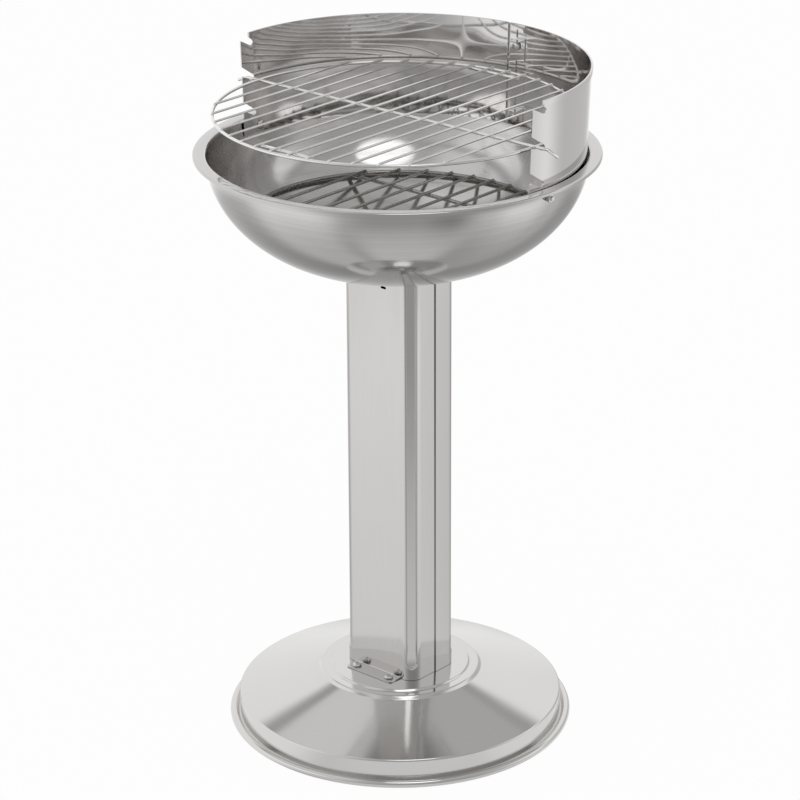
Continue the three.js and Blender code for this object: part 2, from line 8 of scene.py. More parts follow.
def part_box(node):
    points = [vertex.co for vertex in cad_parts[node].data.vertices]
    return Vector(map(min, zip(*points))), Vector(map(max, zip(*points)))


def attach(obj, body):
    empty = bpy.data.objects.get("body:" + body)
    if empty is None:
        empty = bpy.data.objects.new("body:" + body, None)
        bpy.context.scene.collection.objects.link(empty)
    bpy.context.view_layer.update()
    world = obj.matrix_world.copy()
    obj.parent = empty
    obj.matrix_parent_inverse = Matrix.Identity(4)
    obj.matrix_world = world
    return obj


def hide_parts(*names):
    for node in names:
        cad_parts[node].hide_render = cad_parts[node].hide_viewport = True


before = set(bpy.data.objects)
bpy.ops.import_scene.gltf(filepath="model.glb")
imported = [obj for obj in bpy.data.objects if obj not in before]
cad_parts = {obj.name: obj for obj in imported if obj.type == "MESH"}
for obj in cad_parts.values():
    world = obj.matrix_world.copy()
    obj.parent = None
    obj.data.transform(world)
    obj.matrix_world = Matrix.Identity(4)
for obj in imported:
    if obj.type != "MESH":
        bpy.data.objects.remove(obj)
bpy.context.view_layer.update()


# Studio. The barbecue stands on a white painted floor in a white room. A camera looks down on it
# from the front right, and one large round lamp hangs in front of it on the same side.

mm = 0.001
camera_place = Vector((1.8937, -2.1886, 1.5085))
camera_turn = math.radians(40.842)
camera_drop = math.radians(21.876)
camera_roll = math.radians(-0.269)
camera_lens = 139.38
camera_sensor = 36.0
floor_size = 60.0
floor_drop = 0.2 * mm
lamp_place = Vector((1.06, -0.8, 2.55))
lamp_target = Vector((0, 0, 0.4))
lamp_power = 5.2
lamp_size = 1.3

# How bright the metal sees the floor, the dark cornice and the ceiling, where 1 is white.
floor_from_above = 0.46
floor_at_a_slant = 0.7
cornice_level = 0.42
ceiling_on_the_right = 0.52
ceiling_on_the_left = 0.77
toward_left = (-0.93, -0.36, 0)

# Where those change. A slant is 0 for the floor seen from straight above and 1 at grazing, a reach
# is a distance from the foot in metres, and a rise is 0 for a level ray and 1 for an upright one.
steep_slant = 0.06
sector_slant = 0.4
full_slant = 0.5
grazing_slants = (0.7, 0.92)
sector_reaches = (0.2, 1.2)
wall_reaches = (1.1, 1.7)
cornice_rises = (0.6, 0.675)
ceiling_rises = (0.69, 0.725)
left_span = (0.06, 0.28)

# How much of what the camera sees of the floor is glow. The rest is paint, which takes a shadow.
floor_glow_share = 0.96

# Walls that the metal sees dimmed: which way they lie, how nearly a ray has to go that way for the
# dimming to start and to be full, and how bright they stay.
dim_walls = (
    ((0.85, -0.53, 0), 0.1, 0.9, 0.44),
    ((0.14, 0.99, 0), 0.8, 0.97, 0.62),
)

# Sectors of the floor's glow that carry painted light or painted shade, as the metal sees them:
# direction from the front and half width in degrees, then how bright near the foot, far from it,
# and where it is seen from above.
floor_sectors = (
    (-27, 24, 1.38, 1.52, 1.0),
    (110, 24, 1.3, 1.56, 0.8),
    (48, 33, 1.12, 0.64, 1.4),
    (182, 18, 0.7, 0.58, 1.0),
    (83, 16, 1.0, 0.7, 1.0),
    (-95, 22, 0.7, 0.86, 1.0),
)
sector_blur = 14

camera_data = bpy.data.cameras.new("studio_camera")
camera_data.lens = camera_lens
camera_data.sensor_width = camera_sensor
camera = bpy.data.objects.new("studio_camera", camera_data)
turn = Matrix.Rotation(camera_turn, 4, "Z")
tilt = Matrix.Rotation(math.pi / 2 - camera_drop, 4, "X")
roll = Matrix.Rotation(camera_roll, 4, "Z")
camera.matrix_world = Matrix.Translation(camera_place) @ turn @ tilt @ roll
bpy.context.scene.collection.objects.link(camera)
bpy.context.scene.camera = camera
bpy.context.scene.view_settings.view_transform = "Standard"
# The polished sheets mirror each other many times over before a ray leaves the windscreen.
bpy.context.scene.cycles.glossy_bounces = 10


def linear(code):
    """Turns an sRGB hex colour into the linear colour that shaders use."""
    channels = [int(code[i:i + 2], 16) / 255 for i in (1, 3, 5)]
    curve = [c / 12.92 if c <= 0.04045 else ((c + 0.055) / 1.055) ** 2.4 for c in channels]
    return (*curve, 1.0)


def add(tree, kind, inputs, **settings):
    """Adds a node with its settings, and sets or links its inputs."""
    node = tree.nodes.new(kind)
    for name, value in settings.items():
        setattr(node, name, value)
    for key, value in inputs.items():
        if isinstance(value, bpy.types.NodeSocket):
            tree.links.new(value, node.inputs[key])
        else:
            node.inputs[key].default_value = value
    return node


def new_material(name):
    """A material without any nodes yet, and the tree that takes them."""
    material = bpy.data.materials.new(name)
    material.use_nodes = True
    material.node_tree.nodes.clear()
    return material, material.node_tree


def maths(tree, operation, one, other):
    """What a Math node makes of two values."""
    return add(tree, "ShaderNodeMath", {0: one, 1: other}, operation=operation).outputs[0]


def ramp(tree, value, span, levels=(0.0, 1.0), kind="SMOOTHSTEP"):
    """Goes from the first level to the second while a value crosses a span."""
    return add(tree, "ShaderNodeMapRange", {
        "Value": value,
        "From Min": span[0],
        "From Max": span[1],
        "To Min": levels[0],
        "To Max": levels[1],
    }, interpolation_type=kind).outputs[0]


def along(tree, heading, toward):
    """How nearly a heading goes a certain way: 1 where it does, and 0 at right angles to it."""
    ahead = add(tree, "ShaderNodeVectorMath", {0: heading, 1: toward}, operation="DOT_PRODUCT")
    return ahead.outputs["Value"]


def seen_directly(tree):
    """1 for rays from the camera and through glass, and 0 for all others."""
    path = add(tree, "ShaderNodeLightPath", {})
    return maths(tree, "MAXIMUM", path.outputs["Is Camera Ray"], path.outputs["Is Transmission Ray"])


def wall_level(tree, heading):
    """How bright the metal sees the walls, which are dim on the right and behind the barbecue."""
    level = 1.0
    for toward, start, end, shade in dim_walls:
        side = ramp(tree, along(tree, heading, toward), (start, end), (1.0, shade))
        level = maths(tree, "MULTIPLY", side, level)
    return level


# White painted floor: it glows to the background's white and keeps a soft shadow of the foot.
# In the metal its glow is painted light from two sides and painted shade on most others, behind the
# barbecue too. The glow is painted brighter at a slant, standing in for the sheen of satin paint,
# and is as bright as the walls far out and at grazing.
floor_paint, tree = new_material("white_floor_paint")
direct = seen_directly(tree)
in_reflection = add(tree, "ShaderNodeLightPath", {}).outputs["Is Glossy Ray"]
paint = add(tree, "ShaderNodeBsdfDiffuse", {"Color": linear("#f4f4f4")})
spot = add(tree, "ShaderNodeTexCoord", {}).outputs["Object"]
away = add(tree, "ShaderNodeVectorMath", {0: spot}, operation="LENGTH").outputs["Value"]
heading = add(tree, "ShaderNodeVectorMath", {0: spot}, operation="NORMALIZE").outputs[0]
slant = add(tree, "ShaderNodeLayerWeight", {"Blend": 0.5}).outputs["Facing"]
in_metal = ramp(tree, slant, (steep_slant, full_slant), (floor_from_above, floor_at_a_slant), "LINEAR")
for azimuth, half_width, near, far, steep in floor_sectors:
    toward = Matrix.Rotation(math.radians(azimuth), 3, "Z") @ Vector((0, -1, 0))
    edges = [math.cos(math.radians(half_width + blur)) for blur in (sector_blur, -sector_blur)]
    sector = ramp(tree, along(tree, heading, toward), edges)
    gain = ramp(tree, away, sector_reaches, (near, far))
    from_above = ramp(tree, slant, (steep_slant, sector_slant), (steep, 1.0), "LINEAR")
    gain = maths(tree, "MULTIPLY", gain, from_above)
    here = add(tree, "ShaderNodeMix", {"Factor": sector, "A": 1.0, "B": gain}).outputs[0]
    in_metal = maths(tree, "MULTIPLY", in_metal, here)
like_walls = maths(tree, "MAXIMUM", ramp(tree, away, wall_reaches), ramp(tree, slant, grazing_slants))
walls = wall_level(tree, heading)
in_metal = add(tree, "ShaderNodeMix", {"Factor": like_walls, "A": in_metal, "B": walls}).outputs[0]
level = maths(tree, "MAXIMUM", in_metal, direct)
glow = add(tree, "ShaderNodeEmission", {"Color": linear("#ffffff"), "Strength": level})
share = maths(tree, "MAXIMUM", maths(tree, "MULTIPLY", direct, floor_glow_share), in_reflection)
mix = add(tree, "ShaderNodeMixShader", {"Fac": share, 1: paint.outputs[0], 2: glow.outputs[0]})
add(tree, "ShaderNodeOutputMaterial", {"Surface": mix.outputs[0]})

mesh = bmesh.new()
bmesh.ops.create_grid(mesh, x_segments=1, y_segments=1, size=floor_size / 2,
                      matrix=Matrix.Translation((0, 0, -floor_drop)))
floor_mesh = bpy.data.meshes.new("studio_floor")
mesh.to_mesh(floor_mesh)
mesh.free()
floor_mesh.materials.append(floor_paint)
studio_floor = bpy.data.objects.new("studio_floor", floor_mesh)
bpy.context.scene.collection.objects.link(studio_floor)

# White room: white where the camera looks. The metal sees bright walls that end in a dark
# cornice, and a greyer ceiling that is lighter on the left.
world = bpy.data.worlds.new("studio_room")
world.use_nodes = True
bpy.context.scene.world = world
tree = world.node_tree
tree.nodes.clear()
direction = add(tree, "ShaderNodeTexCoord", {}).outputs["Generated"]
rise = add(tree, "ShaderNodeSeparateXYZ", {0: direction}).outputs["Z"]
leftward = along(tree, direction, toward_left)
ceiling_level = ramp(tree, leftward, left_span, (ceiling_on_the_right, ceiling_on_the_left))
level = wall_level(tree, direction)
for rises, shade in ((cornice_rises, cornice_level), (ceiling_rises, ceiling_level)):
    above = ramp(tree, rise, rises)
    level = add(tree, "ShaderNodeMix", {"Factor": above, "A": level, "B": shade}).outputs[0]
level = maths(tree, "MAXIMUM", level, seen_directly(tree))
room = add(tree, "ShaderNodeBackground", {"Color": linear("#ffffff"), "Strength": level})
add(tree, "ShaderNodeOutputWorld", {"Surface": room.outputs[0]})

lamp = bpy.data.lights.new("soft_box_front", "AREA")
lamp.energy = lamp_power
lamp.shape = "DISK"
lamp.size = lamp_size
soft_box = bpy.data.objects.new("soft_box_front", lamp)
soft_box.location = lamp_place
soft_box.rotation_euler = (lamp_target - lamp_place).to_track_quat("-Z", "Y").to_euler()
bpy.context.scene.collection.objects.link(soft_box)


# Foot: one disc of stainless sheet, spun and pressed into a low cone with a raised seat for the
# column, and its rim rolled under. Turning leaves fine rings, so light runs out in rays.

sheet = 1.0 * mm
foot_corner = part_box("base_dish")[1]
foot_radius = foot_corner.x
foot_top = foot_corner.z
foot_bead = 3.8 * mm
foot_seat_radius = 70.8 * mm
foot_step_width = 1.6 * mm
foot_band_drop = 1.9 * mm
foot_band_radius = 81.4 * mm
foot_cone_radius = 84.2 * mm
foot_cone_drop = 5.5 * mm
foot_skirt_radius = 167.0 * mm
foot_shoulder_top = 26.7 * mm
foot_trough = 3.0 * mm
foot_flange_width = 1.6 * foot_bead
foot_disc_edge = 1.2 * mm
foot_step_edge = 1.0 * mm
foot_band_edge = 2.2 * mm
foot_cone_edge = 2.0 * mm
foot_shoulder_edge = 2.6 * mm
foot_trough_edge = 0.8 * mm
foot_flange_edge = 1.2 * mm
turning_steps = 256
merge_reach = 0.001 * mm


def arc(centre, radius, start, end, steps):
    """Points of a round stretch of an outline, from one angle in degrees to another."""
    angles = [math.radians(start + (end - start) * i / steps) for i in range(steps + 1)]
    return [(centre[0] + radius * math.cos(a), centre[1] + radius * math.sin(a)) for a in angles]


def rounded(corners, steps=6):
    """Rounds the corners of an open outline. Each corner is its two places and its rounding."""
    points = []
    for i, (across, level, rounding) in enumerate(corners):
        here = Vector((across, level))
        if not rounding:
            points.append(tuple(here))
            continue
        back = (Vector(corners[i - 1][:2]) - here).normalized()
        on = (Vector(corners[i + 1][:2]) - here).normalized()
        half = back.angle(on) / 2
        centre = here + (back + on).normalized() * rounding / math.sin(half)
        first = here + back * rounding / math.tan(half) - centre
        last = here + on * rounding / math.tan(half) - centre
        turn = math.atan2(first.x * last.y - first.y * last.x, first.dot(last))
        for k in range(steps + 1):
            points.append(tuple(centre + Matrix.Rotation(turn * k / steps, 2) @ first))
    return points


def line_mesh(points):
    """A bmesh with one open line of edges through points in space."""
    mesh = bmesh.new()
    verts = [mesh.verts.new(point) for point in points]
    for pair in zip(verts, verts[1:]):
        mesh.edges.new(pair)
    return mesh


def turned(outline, start=0.0, sweep=360.0):
    """Spins an outline of radius and height about the upright axis into a thin skin."""
    mesh = line_mesh([(r, 0, z) for r, z in outline])
    bmesh.ops.rotate(mesh, verts=mesh.verts, matrix=Matrix.Rotation(math.radians(start), 3, "Z"))
    bmesh.ops.spin(mesh, geom=mesh.verts[:] + mesh.edges[:], axis=(0, 0, 1), angle=math.radians(sweep),
                   steps=round(turning_steps * sweep / 360), use_merge=sweep == 360)
    bmesh.ops.remove_doubles(mesh, verts=mesh.verts, dist=merge_reach)
    bmesh.ops.recalc_face_normals(mesh, faces=mesh.faces)
    return mesh


def face_out(mesh, outward):
    """Turns the whole skin round where its largest face doesn't look the way outward says."""
    face = max(mesh.faces, key=lambda f: f.calc_area())
    if face.normal.dot(outward(face.calc_center_median())) < 0:
        bmesh.ops.reverse_faces(mesh, faces=mesh.faces)


def finished(name, mesh, body, materials, nodes=(), crease=35):
    """Makes a bmesh an object that is smooth up to a crease and rides on a body for CAD nodes."""
    data = bpy.data.meshes.new(name)
    mesh.to_mesh(data)
    mesh.free()
    for material in materials:
        data.materials.append(material)
    data.shade_smooth()
    data.set_sharp_from_angle(angle=math.radians(crease))
    piece = bpy.data.objects.new(name, data)
    bpy.context.scene.collection.objects.link(piece)
    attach(piece, body)
    if nodes:
        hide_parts(*nodes)
    return piece


# What a noise texture mostly ranges over, and what the sum of two does.
noise_span = (0.3, 0.7)
noise_sum_span = (0.7, 1.3)


def stainless(name, colour, roughness, spread, lines_mm, grain=(1, 1, 1), turned_lines=False,
              lines_bump=0.03, anisotropy=0.0, tone=0.04, swell_mm=0.0, swell_depth=0.0):
    """Stainless steel: pale warm grey metal with fine marks, and a slight swell where asked.

    The marks run round the upright axis or along the grain. Real ones are finer than lines_mm,
    which is as coarse as they have to be to show.
    """
    material, tree = new_material(name)
    place = add(tree, "ShaderNodeTexCoord", {}).outputs["Object"]
    flat = add(tree, "ShaderNodeVectorMath", {0: place, 1: (1, 1, 0)}, operation="MULTIPLY").outputs[0]
    if turned_lines:
        height = add(tree, "ShaderNodeSeparateXYZ", {0: place}).outputs["Z"]
        radius = add(tree, "ShaderNodeVectorMath", {0: flat}, operation="LENGTH").outputs["Value"]
        rows = add(tree, "ShaderNodeCombineXYZ", {0: radius, 1: height})
    else:
        rows = add(tree, "ShaderNodeVectorMath", {0: place, 1: grain}, operation="MULTIPLY")
    lines = add(tree, "ShaderNodeTexNoise", {
        "Vector": rows.outputs[0],
        "Scale": 1 / (lines_mm * mm),
        "Detail": 5.0,
        "Roughness": 0.65,
    }).outputs["Fac"]
    # Cloudy patches about 56 mm across make it a little duller here and there.
    cloud = add(tree, "ShaderNodeTexNoise", {"Vector": place, "Scale": 18.0, "Detail": 3.0}).outputs["Fac"]
    both = maths(tree, "ADD", lines, cloud)
    rough = ramp(tree, both, noise_sum_span, (roughness - spread, roughness + spread), "LINEAR")
    shade = ramp(tree, lines, noise_span, (1 - tone, 1.0), "LINEAR")
    tint = add(tree, "ShaderNodeVectorMath", {0: linear(colour)[:3], "Scale": shade}, operation="SCALE")
    relief = add(tree, "ShaderNodeBump", {"Height": lines, "Strength": lines_bump, "Distance": 0.1 * mm})
    if swell_depth:
        swell = add(tree, "ShaderNodeTexNoise", {
            "Vector": place,
            "Scale": 1 / (swell_mm * mm),
            "Detail": 1.0,
        })
        relief = add(tree, "ShaderNodeBump", {
            "Height": swell.outputs["Fac"],
            "Strength": 1.0,
            "Distance": swell_depth * mm,
            "Normal": relief.outputs[0],
        })
    inputs = {
        "Base Color": tint.outputs[0],
        "Metallic": 1.0,
        "Roughness": rough,
        "Normal": relief.outputs[0],
    }
    if anisotropy:
        inputs["Anisotropic"] = anisotropy
        inputs["Tangent"] = flat
    metal = add(tree, "ShaderNodeBsdfPrincipled", inputs)
    add(tree, "ShaderNodeOutputMaterial", {"Surface": metal.outputs[0]})
    return material


# Spun stainless, polished on the lathe: a fairly sharp mirror with fine rings.
spun_stainless = stainless(
    "spun_stainless", "#d8d7d5", roughness=0.11, spread=0.03, lines_mm=0.9,
    turned_lines=True, anisotropy=0.6, swell_mm=45, swell_depth=0.08,
)

outline = rounded([
    (0, foot_top, 0),
    (foot_seat_radius, foot_top, foot_disc_edge),
    (foot_seat_radius + foot_step_width, foot_top - foot_band_drop, foot_step_edge),
    (foot_band_radius, foot_top - foot_band_drop, foot_band_edge),
    (foot_cone_radius, foot_top - foot_cone_drop, foot_cone_edge),
    (foot_skirt_radius, foot_shoulder_top, foot_shoulder_edge),
    (foot_skirt_radius, foot_trough, foot_trough_edge),
    (foot_radius - foot_flange_width, 2 * foot_bead, foot_flange_edge),
    (foot_radius - foot_bead, 2 * foot_bead, 0),
])
outline += arc((foot_radius - foot_bead, foot_bead), foot_bead, 90, -200, 20)[1:]
mesh = turned(outline)
face_out(mesh, lambda middle: Vector((0, 0, 1)))
bmesh.ops.solidify(mesh, geom=mesh.faces[:], thickness=sheet)
finished("foot_dish", mesh, "pedestal", [spun_stainless], ["base_dish"])


# Column: two half shells folded from cold rolled stainless sheet that lap at the sides. Each has
# a groove pressed up both corners, a foot tab bent out and a top tab bent in for its screws.

column_low, column_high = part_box("column_front_shell")
rear_low, rear_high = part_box("column_rear_shell")
column_foot = column_low.z
column_top = column_high.z
column_half_depth = 35.0 * mm
column_corner = 14.0 * mm
column_corner_steps = 88
groove_half_width = 6.1 * mm
groove_floor_half = 4.0 * mm
groove_depth = 4.2 * mm
groove_end = column_foot + 12.4 * mm
groove_end_steps = 24
groove_lead = 0.5 * mm
groove_run_out = 20.0 * mm
groove_run_out_steps = 8
groove_run_out_rise = 0.5
tab_half_width = 30.5 * mm
foot_tab_bend = 1.0 * mm
top_tab_bend = 2.0 * mm
top_tab_length = 15.0 * mm
foot_tab_length = -column_half_depth - column_low.y
tab_corner = 4.0 * mm
tab_bend_steps = 5
slot_place = 11.0 * mm
slot_drop = 15.5 * mm
slot_width = 7.0 * mm
slot_height = 2.6 * mm
slot_cut_depth = 8.0 * mm

# Cold rolled stainless as the mill leaves it: faint upright roll marks over a slightly blurred
# reflection, which the sheet's swell bends.
rolled_stainless = stainless(
    "rolled_stainless", "#cdcbca", roughness=0.1, spread=0.03, lines_mm=1.1,
    grain=(1, 1, 0.02), lines_bump=0.05, swell_mm=160, swell_depth=0.5,
)


def cut(mesh, *cutters):
    """Cuts closed bmeshes out of a closed bmesh and gives back what is left."""
    parts = []
    for part in (mesh, *cutters):
        data = bpy.data.meshes.new("cutting")
        part.to_mesh(data)
        part.free()
        parts.append(bpy.data.objects.new("cutting", data))
        bpy.context.scene.collection.objects.link(parts[-1])
    for cutter in parts[1:]:
        modifier = parts[0].modifiers.new("cut", "BOOLEAN")
        modifier.operation = "DIFFERENCE"
        modifier.solver = "EXACT"
        modifier.object = cutter
    left = bmesh.new()
    left.from_object(parts[0], bpy.context.evaluated_depsgraph_get())
    for part in parts:
        bpy.data.objects.remove(part)
    return left


def only(kind, grown):
    """The vertices, edges or faces among what an operator gave back."""
    return [part for part in grown if isinstance(part, kind)]


def prism(outline, start, end):
    """A closed block with an outline in the plane of Y and Z, from start to end along X."""
    mesh = bmesh.new()
    face = mesh.faces.new([mesh.verts.new((start, y, z)) for y, z in outline])
    far = bmesh.ops.extrude_face_region(mesh, geom=[face])["geom"]
    bmesh.ops.translate(mesh, verts=only(bmesh.types.BMVert, far), vec=(end - start, 0, 0))
    bmesh.ops.recalc_face_normals(mesh, faces=mesh.faces)
    return mesh


def bent_tab(mesh, height, bend_centre, length, direction):
    """Folds the sheet out of the wide face at a height into a tab with rounded corners."""
    middle = Vector((0, -column_half_depth, height))
    level = [e for e in mesh.edges if all(abs(v.co.z - height) < 0.01 * mm for v in e.verts)]
    edge = min(level, key=lambda e: (e.verts[0].co + e.verts[1].co - 2 * middle).length)
    bend = bmesh.ops.spin(mesh, geom=[edge, *edge.verts], cent=bend_centre, axis=(1, 0, 0),
                          angle=-math.pi / 2, steps=tab_bend_steps)["geom_last"]
    plate = bmesh.ops.extrude_edge_only(mesh, edges=only(bmesh.types.BMEdge, bend))["geom"]
    corners = only(bmesh.types.BMVert, plate)
    bmesh.ops.translate(mesh, verts=corners, vec=(0, direction * length, 0))
    bmesh.ops.bevel(mesh, geom=corners, offset=tab_corner, affect="VERTICES", segments=6, profile=0.5,
                    material=-1)


def half_shell(half_width, wall_end):
    """The front half of the column's skin, seen from outside, with its grooves and tabs."""
    corner_x = half_width - column_corner
    corner_y = column_corner - column_half_depth
    plan = [(half_width, wall_end)]
    plan += arc((corner_x, corner_y), column_corner, 0, -90, column_corner_steps)
    plan += [(tab_half_width, -column_half_depth), (-tab_half_width, -column_half_depth)]
    plan += arc((-corner_x, corner_y), column_corner, -90, -180, column_corner_steps)
    plan += [(-half_width, wall_end)]
    round_end = [groove_half_width * i / groove_end_steps for i in range(groove_end_steps)]
    above_end = [groove_half_width + (groove_run_out - groove_half_width) * i / groove_run_out_steps
                 for i in range(groove_run_out_steps + 1)]
    levels = [column_foot + sheet + foot_tab_bend, groove_end - groove_lead]
    levels += [groove_end + rise for rise in (*round_end, *above_end)]
    levels += [column_top - top_tab_bend, column_top]
    mesh = line_mesh([(x, y, column_foot) for x, y in plan])
    row = mesh.edges[:]
    height = column_foot
    for level in levels:
        risen = bmesh.ops.extrude_edge_only(mesh, edges=row)["geom"]
        row = only(bmesh.types.BMEdge, risen)
        bmesh.ops.translate(mesh, verts=only(bmesh.types.BMVert, risen), vec=(0, 0, level - height))
        height = level
    across_groove = Vector((1, 1)).normalized()
    corner_out = Vector((1, -1)).normalized()
    for vert in mesh.verts:
        out = Vector((abs(vert.co.x) - corner_x, vert.co.y - corner_y))
        if out.x < 0 or out.y > 0:
            continue
        across = out.dot(across_groove)
        rise = vert.co.z - groove_end
        reach = math.hypot(across, max(0, groove_half_width - rise))
        if reach < groove_half_width:
            wall = max(0.0, (reach - groove_floor_half) / (groove_half_width - groove_floor_half))
            depth = groove_depth * (1 - groove_run_out_rise * max(0, 1 - rise / groove_run_out) ** 2)
            above_floor = out.dot(corner_out) - column_corner + depth
            out -= corner_out * above_floor * (1 + math.cos(math.pi * wall)) / 2
            vert.co.x = math.copysign(corner_x + out.x, vert.co.x)
            vert.co.y = corner_y + out.y
    # The strips of the wide face at both ends make way for the bends of the tabs.
    tab_faces = []
    for face in mesh.faces:
        middle = face.calc_center_median()
        at_an_end = not column_foot + 2 * sheet < middle.z < column_top - 2 * sheet
        if abs(middle.x) < sheet and at_an_end:
            tab_faces.append(face)
    bmesh.ops.delete(mesh, geom=tab_faces, context="FACES_ONLY")
    stray = [e for e in mesh.edges if not e.link_faces]
    bmesh.ops.delete(mesh, geom=stray, context="EDGES")
    foot_bend_height = column_foot + sheet + foot_tab_bend
    bent_tab(mesh, foot_bend_height, (0, -column_half_depth - foot_tab_bend, foot_bend_height),
             foot_tab_length - foot_tab_bend, -1)
    top_bend_height = column_top - top_tab_bend
    bent_tab(mesh, top_bend_height, (0, top_tab_bend - column_half_depth, top_bend_height),
             top_tab_length - top_tab_bend, 1)
    bmesh.ops.recalc_face_normals(mesh, faces=mesh.faces)
    face_out(mesh, lambda middle: Vector((middle.x, middle.y, 0)))
    bmesh.ops.solidify(mesh, geom=mesh.faces[:], thickness=sheet)
    return mesh


slot_half = (slot_width - slot_height) / 2
slot_block = bmesh.new()
bmesh.ops.create_circle(slot_block, cap_ends=True, segments=24, radius=slot_height / 2)
for vert in slot_block.verts:
    vert.co.x += math.copysign(slot_half, vert.co.x)
deep = bmesh.ops.extrude_face_region(slot_block, geom=slot_block.faces[:])["geom"]
bmesh.ops.translate(slot_block, verts=only(bmesh.types.BMVert, deep), vec=(0, 0, slot_cut_depth))
bmesh.ops.recalc_face_normals(slot_block, faces=slot_block.faces)
slot_centre = (slot_place, slot_cut_depth / 2 - column_half_depth, column_top - slot_drop)
bmesh.ops.transform(slot_block, verts=slot_block.verts,
                    matrix=Matrix.Translation(slot_centre) @ Matrix.Rotation(math.pi / 2, 4, "X"))
mesh = cut(half_shell(column_high.x, column_high.y), slot_block)
finished("column_front", mesh, "pedestal", [rolled_stainless], ["column_front_shell"])

mesh = half_shell(rear_high.x, -rear_low.y)
bmesh.ops.rotate(mesh, verts=mesh.verts, matrix=Matrix.Rotation(math.pi, 3, "Z"))
finished("column_rear", mesh, "pedestal", [rolled_stainless], ["column_rear_shell"])


# Screws and nuts: cross recessed pan head screws of stainless with hexagon nuts. They hold the
# column's tabs on the foot and under the bowl, and the windscreen's sheets in the bowl and together.

screw_radius = 2.4 * mm
head_radius = 4.6 * mm
head_height = 3.0 * mm
nut_radius = 4.6 * mm
recess_depth = 0.7 * mm
recess_width = 0.7 * mm
recess_length = 3.8 * mm
thread_pitch = 0.8 * mm
thread_depth = 0.35 * mm
head_edge_radius = 0.5 * mm
head_relief = 0.3 * mm
head_side = 1.0 * mm
nut_chamfer = 0.45 * mm
nut_clearance = 0.1 * mm

# Cold headed stainless wire, tumbled bright: small soft dimples break the shine.
headed_stainless = stainless(
    "headed_stainless", "#dbd9d7", roughness=0.2, spread=0.06, lines_mm=0.7,
    lines_bump=0.15, tone=0.12,
)


def axis_frame(node, out):
    """Where a fastener's tail is, turned so that its own Z looks along out, and its length."""
    low, high = (Vector(corner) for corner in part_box(node))
    middle = (low + high) / 2
    length = abs((high - low).dot(out))
    turn = out.to_track_quat("Z", "Y").to_matrix().to_4x4()
    return Matrix.Translation(middle - out * length / 2) @ turn, length


def screw(node, out):
    """A pan head screw along the box of a CAD node, its head on the side that out points to."""
    place, length = axis_frame(node, out)
    seat = length - head_height
    outline = [(0, 0), (screw_radius - thread_depth, 0)]
    height = thread_depth
    while height < seat - 2 * thread_pitch:
        outline += [(screw_radius, height), (screw_radius - thread_depth, height + thread_pitch / 2)]
        height += thread_pitch
    outline += [(screw_radius, height), (screw_radius, seat), (head_radius - head_relief, seat)]
    outline += arc((head_radius - head_edge_radius, seat + head_edge_radius), head_edge_radius, -60, 0, 3)
    crown = arc((0, 0), 1, 15, 90, 5)
    rise = head_height - head_side
    outline += [(head_radius * across, seat + head_side + rise * above) for across, above in crown]
    mesh = line_mesh([(r, 0, z) for r, z in outline])
    bmesh.ops.spin(mesh, geom=mesh.verts[:] + mesh.edges[:], axis=(0, 0, 1), angle=2 * math.pi, steps=28,
                   use_merge=True)
    bmesh.ops.remove_doubles(mesh, verts=mesh.verts, dist=merge_reach)
    bmesh.ops.recalc_face_normals(mesh, faces=mesh.faces)
    blades = []
    for size in ((recess_length, recess_width), (recess_width, recess_length)):
        blade = bmesh.new()
        shape = Matrix.Diagonal((*size, 2 * recess_depth, 1))
        bmesh.ops.create_cube(blade, size=1, matrix=Matrix.Translation((0, 0, length)) @ shape)
        blades.append(blade)
    mesh = cut(mesh, *blades)
    bmesh.ops.transform(mesh, matrix=place, verts=mesh.verts)
    return finished(f"{node}_threaded", mesh, "pedestal", [headed_stainless], [node])


def nut(node, out):
    """A hexagon nut with chamfered faces along the box of a CAD node."""
    place, length = axis_frame(node, out)
    mesh = bmesh.new()
    bmesh.ops.create_circle(mesh, cap_ends=False, segments=6, radius=nut_radius)
    bmesh.ops.create_circle(mesh, cap_ends=False, segments=24, radius=screw_radius + nut_clearance)
    bmesh.ops.triangle_fill(mesh, edges=mesh.edges[:], use_beauty=True)
    risen = bmesh.ops.extrude_face_region(mesh, geom=mesh.faces[:])["geom"]
    bmesh.ops.translate(mesh, verts=only(bmesh.types.BMVert, risen), vec=(0, 0, length))
    bmesh.ops.recalc_face_normals(mesh, faces=mesh.faces)
    rims = [e for e in mesh.edges if e.calc_face_angle(0) > 1
            and abs(e.verts[0].co.z - e.verts[1].co.z) < 0.1 * mm
            and e.verts[0].co.xy.length > (screw_radius + nut_radius) / 2]
    bmesh.ops.bevel(mesh, geom=rims, offset=nut_chamfer, affect="EDGES", segments=2, profile=0.5,
                    material=-1)
    bmesh.ops.transform(mesh, matrix=place, verts=mesh.verts)
    return finished(f"{node}_hexagon", mesh, "pedestal", [headed_stainless], [node], crease=25)


upward = Vector((0, 0, 1))
for number in (1, 2, 3, 4):
    for stem in ("base", "bowl"):
        screw(f"{stem}_screw_{number}", upward)
        nut(f"{stem}_nut_{number}", upward)


# Fire bowl: a deep round bowl pressed from one stainless disc, with a flat rim and a turned edge.
# It is satin outside and polished brighter inside.

bowl_low, bowl_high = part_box("bowl")
bowl_bottom = bowl_low.z
rim_radius = bowl_high.x
rim_top = bowl_high.z
bowl_flat_radius = 50.0 * mm
bowl_wall_radius = 187.5 * mm
bowl_depth = 111.2 * mm
bowl_curve_power = 1.06
bowl_curve_steps = 40
bowl_neck = 1.4 * mm
rim_bend = 2.3 * mm
rim_edge_bend = 1.0 * mm
rim_edge_height = 2.8 * mm

# Satin stainless: even rings from the pad that it turned under, drawn coarser than they are.
satin_stainless = stainless(
    "satin_stainless", "#cdcbca", roughness=0.12, spread=0.04, lines_mm=2.4,
    turned_lines=True, anisotropy=0.6, tone=0.1, swell_mm=80, swell_depth=0.2,
)
